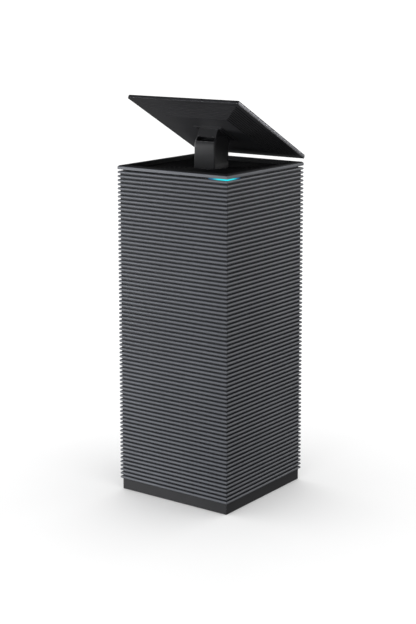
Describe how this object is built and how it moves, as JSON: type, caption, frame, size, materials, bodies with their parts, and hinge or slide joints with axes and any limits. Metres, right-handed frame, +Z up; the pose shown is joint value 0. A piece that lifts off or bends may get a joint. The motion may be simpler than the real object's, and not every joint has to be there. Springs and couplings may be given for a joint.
{
  "type": "touchscreen kiosk",
  "caption": "Square ribbed column kiosk with a recessed top, a corner light strip and a square touch display that tilts on a fixed neck.",
  "frame": {"origin": "centre of the base plate's underside, at the middle of its four floor anchors, on the floor", "axes": "+Z up, the user stands at -Y and faces +Y, +X is the user's right; the hinge runs along X"},
  "size_m": [0.4, 0.4081, 1.2057],
  "materials": {
    "rib_finish": "anthracite powder coat, satin",
    "plinth_finish": "anthracite powder coat, matt",
    "deck_black": "moulded, fine ridges, matt black",
    "neck_finish": "graphite powder coat, satin",
    "cover_finish": "dark graphite coat, satin",
    "edge_finish": "brushed and dark anodised",
    "screen_glass": "black-backed toughened glass, glossy",
    "lcd_face": "dark polariser",
    "zinc_steel": "zinc plated",
    "frame_steel": "black primer",
    "black_screw": "black oxide",
    "bronze": "sintered bronze",
    "black_rubber": "matt",
    "board_green": "solder mask",
    "light_lens": "cyan light diffuser",
    "black_plastic": "fine texture"
  },
  "bodies": {
    "column": {"base_plate": "frame_steel", "cable_grommet": "black_rubber", "top_frame": "frame_steel", "recess_deck": "deck_black", "top_rim": "rib_finish", "light_board": "board_green", "light_diffuser": "light_lens", "equipment_shelf": "frame_steel", "media_player": "black_plastic", "power_supply": "black_plastic", "display_harness": "black_plastic", "catch_sockets": "black_plastic", "neck_yoke": "neck_finish", "neck_clamp_plate": "zinc_steel", "neck_bolts": "zinc_steel", "pivot_shaft": "zinc_steel", "friction_washers": "bronze", "grub_screws": "black_screw", "plinth_board_front": "plinth_finish", "rib_panel_rear": "rib_finish", "plinth_board_rear": "plinth_finish", "rib_panel_left": "rib_finish", "plinth_board_left": "plinth_finish", "rib_panel_right": "rib_finish", "plinth_board_right": "plinth_finish", "corner_post_front_left": "frame_steel", "corner_post_front_right": "frame_steel", "corner_post_rear_left": "frame_steel", "corner_post_rear_right": "frame_steel"},
    "display": {"tilt_head": "neck_finish", "mounting_plate": "cover_finish", "mount_bracket": "zinc_steel", "rear_cover": "cover_finish", "display_chassis": "edge_finish", "lcd_panel": "lcd_face", "touch_glass": "screen_glass", "display_backplate": "zinc_steel", "touch_controller": "board_green", "mounting_screws": "black_screw", "cover_screws": "black_screw"},
    "service_panel": {"rib_panel_front": "rib_finish", "catch_studs": "zinc_steel"},
    "player_button": {"player_button": "zinc_steel"}
  },
  "joints": [
    {"name": "display_tilt", "type": "hinge", "parent": "column", "child": "display", "pos_m": [0, 0, 1.052], "axis": [-1, 0, 0], "range_deg": [0, 20]},
    {"name": "service_panel_pull", "type": "slide", "parent": "column", "child": "service_panel", "axis": [0, -1, 0], "range_m": [0, 0.06]},
    {"name": "player_button_press", "type": "slide", "parent": "column", "child": "player_button", "axis": [0, 1, 0], "range_m": [0, 0.0012], "stiffness_N_per_m": 800}
  ]
}
